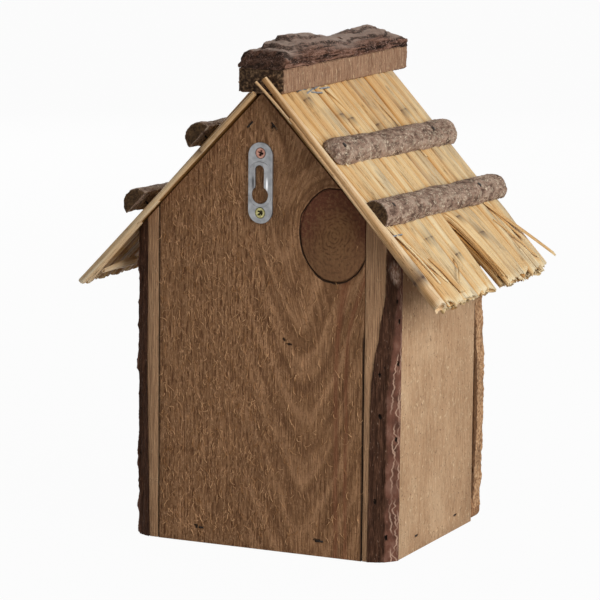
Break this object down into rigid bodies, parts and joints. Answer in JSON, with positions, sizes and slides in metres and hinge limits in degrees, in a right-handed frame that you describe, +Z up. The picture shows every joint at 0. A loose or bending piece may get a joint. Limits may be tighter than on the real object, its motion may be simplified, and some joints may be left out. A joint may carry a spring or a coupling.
{
  "type": "bird nest box",
  "caption": "Gabled bird nest box of rough-sawn boards with waney bark edges, a reed-thatched roof under half-round battens and a bark ridge, and a keyhole hanger on its back.",
  "frame": {"origin": "centre of the box's footprint, on the underside of the floor", "axes": "+Z up, the entrance faces -Y, the hanger plate faces +Y"},
  "size_m": [0.2023, 0.1565, 0.2485],
  "materials": {
    "panel_wood": "rough sawn, brown stained",
    "wall_wood": "rough sawn, lighter tan",
    "bark": "dark reddish bark",
    "reed": "dry straw-coloured stems with a soft sheen",
    "ridge_wood": "rough sawn",
    "ridge_bark": "layered bark",
    "batten_bark": "thin grey-brown bark",
    "galvanised_steel": "galvanised, dull",
    "zinc_screw": "zinc plated",
    "yellow_zinc_screw": "yellow zinc plated",
    "board_staple": "dull wire",
    "thatch_staple": "galvanised wire",
    "nail": "bare steel"
  },
  "bodies": {
    "root": {"back_panel": "panel_wood", "front_panel": "panel_wood", "floor_panel": "panel_wood", "left_roof_board": "panel_wood", "right_roof_board": "panel_wood", "left_side_wall": "wall_wood", "right_side_wall": "wall_wood", "left_wall_bark": "bark", "right_wall_bark": "bark", "front_left_bark": "bark", "front_right_bark": "bark", "left_thatch_under": "reed", "left_thatch_top": "reed", "right_thatch_under": "reed", "right_thatch_top": "reed", "ridge_slab": "ridge_wood", "ridge_bark": "ridge_bark", "left_upper_batten": "batten_bark", "left_lower_batten": "batten_bark", "right_upper_batten": "batten_bark", "right_lower_batten": "batten_bark", "hanger_plate": "galvanised_steel", "hanger_screw_upper": "zinc_screw", "hanger_screw_lower": "yellow_zinc_screw", "floor_staples": "board_staple", "roof_board_staples": "board_staple", "front_panel_staples": "board_staple", "left_thatch_staples": "thatch_staple", "right_thatch_staples": "thatch_staple", "batten_nails": "nail", "ridge_nails": "nail"}
  },
  "joints": []
}
